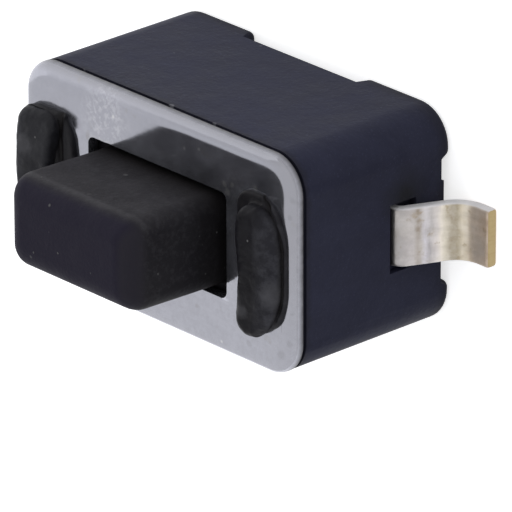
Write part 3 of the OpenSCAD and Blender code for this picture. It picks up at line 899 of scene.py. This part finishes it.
# %% Plunger
# Length, width and corner radius of the pip, the stem above it, the flange and the button.
PIP, STEM = (0.7, 0.7, 0.349), (1.3, 1.3, 0.649)
FLANGE, BUTTON = (3.26, 2.1, 0.2), (2.86, 1.5, 0.32)
FACE_Z, FACE_ROUND, SLACK = 5.0, 0.42, math.radians(1.6)
bm = bmesh.new()
stack(bm, [(0.66, 0.66, 0.329, 1.54), (*PIP, 1.56), (*PIP, 1.72), (0.76, 0.76, 0.379, 1.8),
           (0.94, 0.94, 0.469, 1.84), (*STEM, 1.84), (*STEM, 2.53), (*FLANGE, 2.53),
           (*FLANGE, 2.98), (*BUTTON, 2.98), (*BUTTON, 3.6), (*BUTTON, 4.1),
           *quarter(*BUTTON, FACE_Z, FACE_ROUND, keep=0.4, count=10)], steps=10)
for v in bm.verts:
    if v.co.z > PLATE_TOP:
        v.co.y += (v.co.z - PLATE_TOP) * math.tan(SLACK)
plunger = to_object(bm, "plunger_button", "plunger", ["button"])
plunger.data.materials.append(dry_black)

# %% [markdown]
# ## The leads
# Each terminal is one stamping: a flat contact inside the housing and a strip that bends down to
# the board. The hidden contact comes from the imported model, cut off inside the wall, and the strip
# grows out of that cut: straight out, a spin round the first bend, down the leg, a spin back and
# out along the foot. The long edges are rounded a little, as shearing and plating leave them.

# %% Leads
LEAN = math.radians(24.0)
BEND_X, BEND_Z, UPPER, LOWER_R, SHEET = 2.86, 0.87, 0.1, 0.4, 0.2
REACH = UPPER + SHEET + LOWER_R
LEG = (BEND_Z - SHEET - LOWER_R + REACH * math.sin(LEAN)) / math.cos(LEAN)
CUT_X, TIP_X = 2.6, 4.0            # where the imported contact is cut, and where the foot ends


def swing(bm, faces, centre, angle):
    """Spins faces about a bend's axis and gives the faces at its end."""
    made = bmesh.ops.spin(bm, geom=faces, cent=centre, axis=(0, 1, 0), dvec=(0, 0, 0), angle=angle,
                          steps=12, use_merge=False, use_duplicate=False, use_normal_flip=False)
    return [f for f in made["geom_last"] if isinstance(f, bmesh.types.BMFace)]


def packed_contact(node, side):
    """The contact of a packed terminal, cut off inside the wall, and the face of that cut."""
    bm = bmesh.new()
    bm.from_mesh(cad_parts[node].data)
    bmesh.ops.scale(bm, vec=(side / MM, 1 / MM, 1 / MM), verts=bm.verts)
    bmesh.ops.remove_doubles(bm, verts=bm.verts, dist=1e-3)
    outward(bm)
    bmesh.ops.dissolve_limit(bm, angle_limit=math.radians(1.0), verts=bm.verts, edges=bm.edges)
    whole = list(bm.verts) + list(bm.edges) + list(bm.faces)
    cut = bmesh.ops.bisect_plane(bm, geom=whole, dist=1e-4, plane_co=(CUT_X, 0, 0),
                                 plane_no=(1, 0, 0), clear_outer=True)["geom_cut"]
    loop = [e for e in cut if isinstance(e, bmesh.types.BMEdge)]
    return bm, bmesh.ops.contextual_create(bm, geom=loop)["faces"]


def terminal(name, node, side):
    """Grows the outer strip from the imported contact, on the +X side or the -X side."""
    bm, end = packed_contact(node, side)
    end = pull(bm, end, (BEND_X - CUT_X, 0, 0))
    end = swing(bm, end, (BEND_X, 0, BEND_Z), math.pi / 2 - LEAN)
    along = Vector((math.sin(LEAN), 0, -math.cos(LEAN)))
    for part in (0.3, 0.4, 0.3):
        end = pull(bm, end, along * LEG * part)
    corner = Vector((BEND_X + REACH * math.cos(LEAN), 0, BEND_Z + REACH * math.sin(LEAN)))
    end = swing(bm, end, corner + along * LEG, -(math.pi / 2 - LEAN))
    middle = sum((v.co.x for v in end[0].verts)) / len(end[0].verts)
    end = pull(bm, end, (TIP_X - middle, 0, 0))
    tip = end[0].calc_center_median()
    print(name, "ends at x", round(tip.x, 4), "z", round(tip.z, 4))
    inside = [f for f in bm.faces if all(len(e.link_faces) > 2 for e in f.edges)]
    bmesh.ops.delete(bm, geom=inside, context="FACES_ONLY")
    outward(bm)
    edges = [e for e in bm.edges if len(e.link_faces) == 2
             and e.calc_face_angle() > math.radians(60) and min(v.co.x for v in e.verts) > 2.55]
    soften(bm, edges, 0.06, 4)
    bm.normal_update()
    for face in bm.faces:
        face.material_index = int(face.calc_center_median().x > TIP_X - 0.015)
    bmesh.ops.scale(bm, vec=(side, 1, 1), verts=bm.verts)
    piece = to_object(bm, name, "base", [node])
    piece.data.materials.append(silver)
    piece.data.materials.append(brass)


terminal("lead_right", "terminal_right", 1)
terminal("lead_left", "terminal_left", -1)

# %% [markdown]
# ## The snap dome
# It is hidden under the plunger, and its imported shape is right, so a copy of it is merged and
# finished. On the real button it buckles as the plunger comes down.

# %% Snap dome
bm = bmesh.new()
bm.from_mesh(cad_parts["snap_dome"].data)
bmesh.ops.scale(bm, vec=(1 / MM, 1 / MM, 1 / MM), verts=bm.verts)
bmesh.ops.remove_doubles(bm, verts=bm.verts, dist=0.001)
dome = to_object(bm, "dome_spring", "base", ["snap_dome"])
dome.data.materials.append(spring)
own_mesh(dome)
